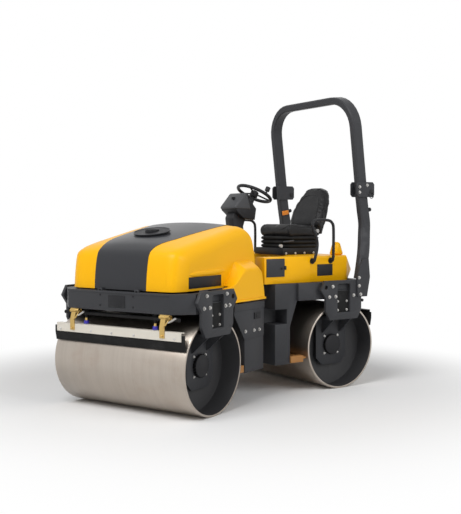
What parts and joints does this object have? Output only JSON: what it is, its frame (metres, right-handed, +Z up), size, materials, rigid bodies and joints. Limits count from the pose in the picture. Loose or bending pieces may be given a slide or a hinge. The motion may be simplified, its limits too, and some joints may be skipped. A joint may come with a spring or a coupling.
{
  "type": "road roller",
  "caption": "Small ride-on articulated tandem roller with smooth steel drums, a tilting engine hood, an operator's seat and a folding roll-over bar.",
  "frame": {"origin": "on the ground under the steering pin that joins the two halves", "axes": "+X forward along the rear half, +Y to the operator's left, +Z up; the front half stands turned 22 degrees to the left"},
  "size_m": [2.5887, 1.6596, 2.4346],
  "materials": {
    "dark_paint": "semi-gloss dark grey paint",
    "yellow_paint": "gloss orange-yellow paint",
    "black_paint": "satin black paint",
    "black_rubber": "matt black rubber",
    "seat_vinyl": "grained black vinyl",
    "black_plastic": "grained black plastic",
    "strip_paint": "dark grey moulding",
    "pin_steel": "turned steel",
    "drum_steel": "turned steel, lightly worn",
    "cream_paint": "pale paint",
    "amber_plastic": "amber plastic",
    "copper_plate": "brown plated steel"
  },
  "bodies": {
    "rear_frame": {"rear_chassis": "dark_paint", "rear_rails": "dark_paint", "rear_fork_left": "dark_paint", "rear_fork_right": "dark_paint", "rear_drum_motors": "black_paint", "rear_tank": "yellow_paint", "tank_humps": "yellow_paint", "floor_mat": "black_rubber", "tank_hatch": "dark_paint", "seat_base": "black_rubber", "seat_cushion": "seat_vinyl", "seat_back": "seat_vinyl", "handrail_left": "black_paint", "handrail_right": "black_paint", "console": "black_plastic", "steering_column": "black_plastic", "bar_post_left": "dark_paint", "bar_post_right": "dark_paint", "bar_pins": "black_plastic", "marker_block": "amber_plastic", "hitch_pin": "pin_steel", "rear_scraper": "black_paint", "rear_blade": "black_rubber", "rear_inner_scraper": "copper_plate", "rear_sprinkler": "black_plastic"},
    "front_frame": {"front_chassis": "dark_paint", "front_rails": "dark_paint", "front_fork_left": "dark_paint", "front_fork_right": "dark_paint", "front_drum_motors": "black_paint", "engine_block": "black_paint", "side_panels": "dark_paint", "front_scraper": "cream_paint", "front_blade": "black_rubber", "front_inner_scraper": "copper_plate", "front_sprinkler": "black_plastic"},
    "hood": {"hood_left": "yellow_paint", "hood_right": "yellow_paint", "hood_strip": "strip_paint", "hood_badges": "black_plastic", "filler_cap": "black_plastic"},
    "front_drum": {"front_drum": "drum_steel"},
    "rear_drum": {"rear_drum": "drum_steel"},
    "steering_wheel": {"steering_wheel": "black_plastic"},
    "roll_bar": {"roll_bar": "dark_paint"}
  },
  "joints": [
    {"name": "steering", "type": "hinge", "parent": "rear_frame", "child": "front_frame", "pos_m": [0, 0, 0.45], "axis": [0, 0, 1], "range_deg": [-52, 8]},
    {"name": "front_drum_roll", "type": "hinge", "parent": "front_frame", "child": "front_drum", "pos_m": [0.79738, 0.32216, 0.35], "axis": [-0.3746, 0.9272, 0], "continuous": true},
    {"name": "rear_drum_roll", "type": "hinge", "parent": "rear_frame", "child": "rear_drum", "pos_m": [-0.86, 0, 0.35], "axis": [0, 1, 0], "continuous": true},
    {"name": "hood_open", "type": "hinge", "parent": "front_frame", "child": "hood", "pos_m": [1.09222, 0.44129, 0.89], "axis": [-0.3746, 0.9272, 0], "range_deg": [0, 55]},
    {"name": "bar_fold", "type": "hinge", "parent": "rear_frame", "child": "roll_bar", "pos_m": [-1.209, 0, 1.622], "axis": [0, -1, 0], "range_deg": [0, 110]},
    {"name": "steering_wheel_turn", "type": "hinge", "parent": "rear_frame", "child": "steering_wheel", "pos_m": [-0.41412, 0, 1.606], "axis": [-0.454, 0, 0.891], "continuous": true}
  ]
}
